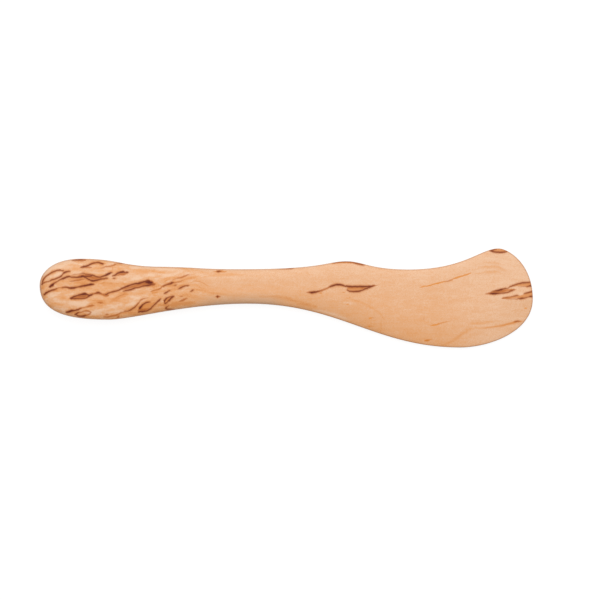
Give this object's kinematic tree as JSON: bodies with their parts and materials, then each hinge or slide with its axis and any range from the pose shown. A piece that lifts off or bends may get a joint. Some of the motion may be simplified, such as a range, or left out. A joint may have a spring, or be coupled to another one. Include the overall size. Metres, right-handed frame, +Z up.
{
  "type": "wooden butter knife",
  "caption": "Carved butter knife with a round-ended handle, a slim neck and a deep rounded spreading blade, cut from a single piece of curly birch and lying on its side.",
  "frame": {"origin": "under the middle of the knife's bounding box, on the surface that it lies on", "axes": "+X along the knife from the butt to the blade's end, +Y towards the back of the blade with its thumb rest and upper corner, +Z up from the surface"},
  "size_m": [0.18, 0.0362, 0.0097],
  "materials": {
    "curly_birch": "sanded smooth and oiled, satin, with dark brown figure"
  },
  "bodies": {
    "root": {"butter_knife": "curly_birch"}
  },
  "joints": []
}
